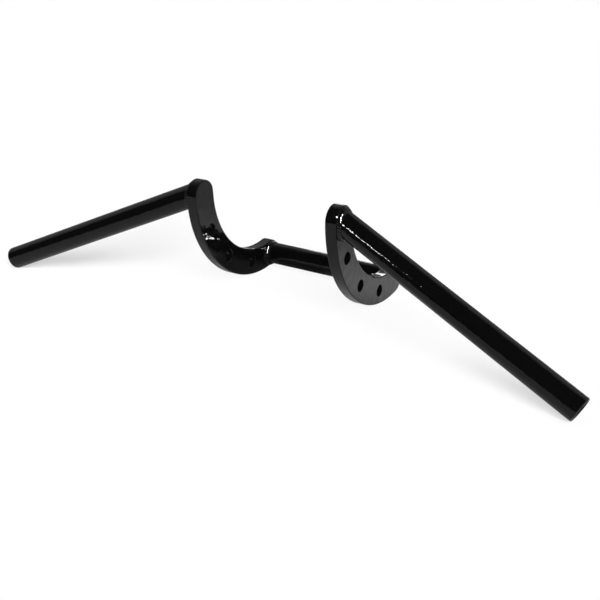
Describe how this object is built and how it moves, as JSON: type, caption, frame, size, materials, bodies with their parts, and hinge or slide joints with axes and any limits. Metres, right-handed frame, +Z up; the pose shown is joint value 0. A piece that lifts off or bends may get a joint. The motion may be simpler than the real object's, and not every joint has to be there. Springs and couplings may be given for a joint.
{
  "type": "z-bar handlebar",
  "caption": "Gloss black welded z-bar motorcycle handlebar with a straight clamp tube, thick drilled crescent risers and swept, dropped grip tubes.",
  "frame": {"origin": "on the axis of the clamp tube, midway between the two risers", "axes": "+X to the rider's right along the clamp tube, +Y forward, away from the rider, +Z up with the bar lying on the bellies of its risers and the ends of its grip tubes"},
  "size_m": [0.6928, 0.1948, 0.138],
  "materials": {
    "coated_tube": "gloss black coat on drawn steel tube, smooth, with long straight reflections",
    "coated_plate": "gloss black coat on thick cut steel plate, slightly wavy, with softened edges",
    "coated_weld": "gloss black coat over rippled weld beads"
  },
  "bodies": {
    "root": {"clamp_tube": "coated_tube", "left_riser": "coated_plate", "right_riser": "coated_plate", "left_grip_tube": "coated_tube", "right_grip_tube": "coated_tube", "left_clamp_weld": "coated_weld", "right_clamp_weld": "coated_weld", "left_grip_weld": "coated_weld", "right_grip_weld": "coated_weld"}
  },
  "joints": []
}
